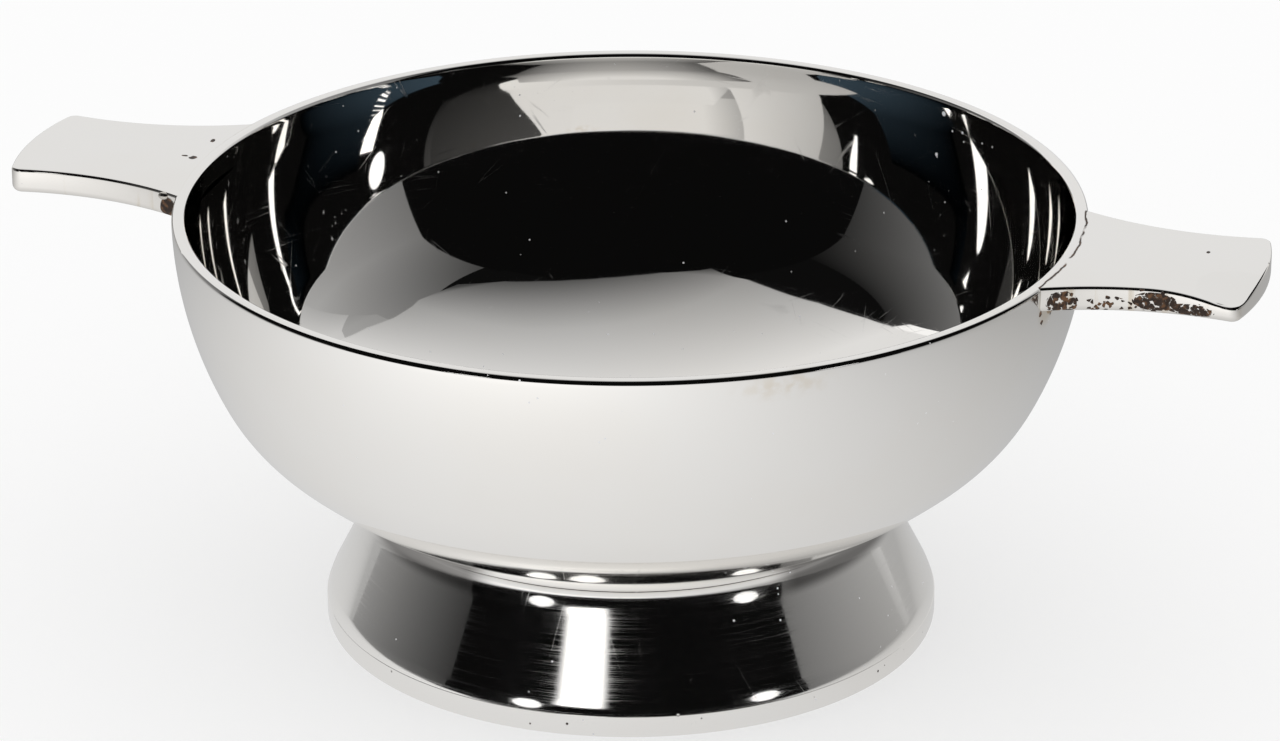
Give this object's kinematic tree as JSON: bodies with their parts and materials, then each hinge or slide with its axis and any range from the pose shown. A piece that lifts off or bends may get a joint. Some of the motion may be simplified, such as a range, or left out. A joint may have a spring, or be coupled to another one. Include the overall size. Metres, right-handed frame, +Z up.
{
  "type": "quaich",
  "caption": "Shallow two-lugged drinking bowl on a spreading hollow foot, mirror-polished silver plate, with flat waisted lugs level with the rim.",
  "frame": {"origin": "centre of the foot's base, on the surface that the quaich stands on", "axes": "+Z up along the bowl's axis, +X towards the right lug as the picture shows it"},
  "size_m": [0.1408, 0.1, 0.0482],
  "materials": {
    "polished_silver": "mirror-polished silver plate with fine scratches",
    "lug_silver": "polished silver plate, brown tarnish on the edges",
    "solder": "dull silver solder, pitted and tarnished"
  },
  "bodies": {
    "root": {"bowl": "polished_silver", "foot": "polished_silver", "foot_wire": "polished_silver", "right_lug": "lug_silver", "left_lug": "lug_silver", "foot_solder": "solder", "right_lug_solder": "solder", "left_lug_solder": "solder"}
  },
  "joints": []
}
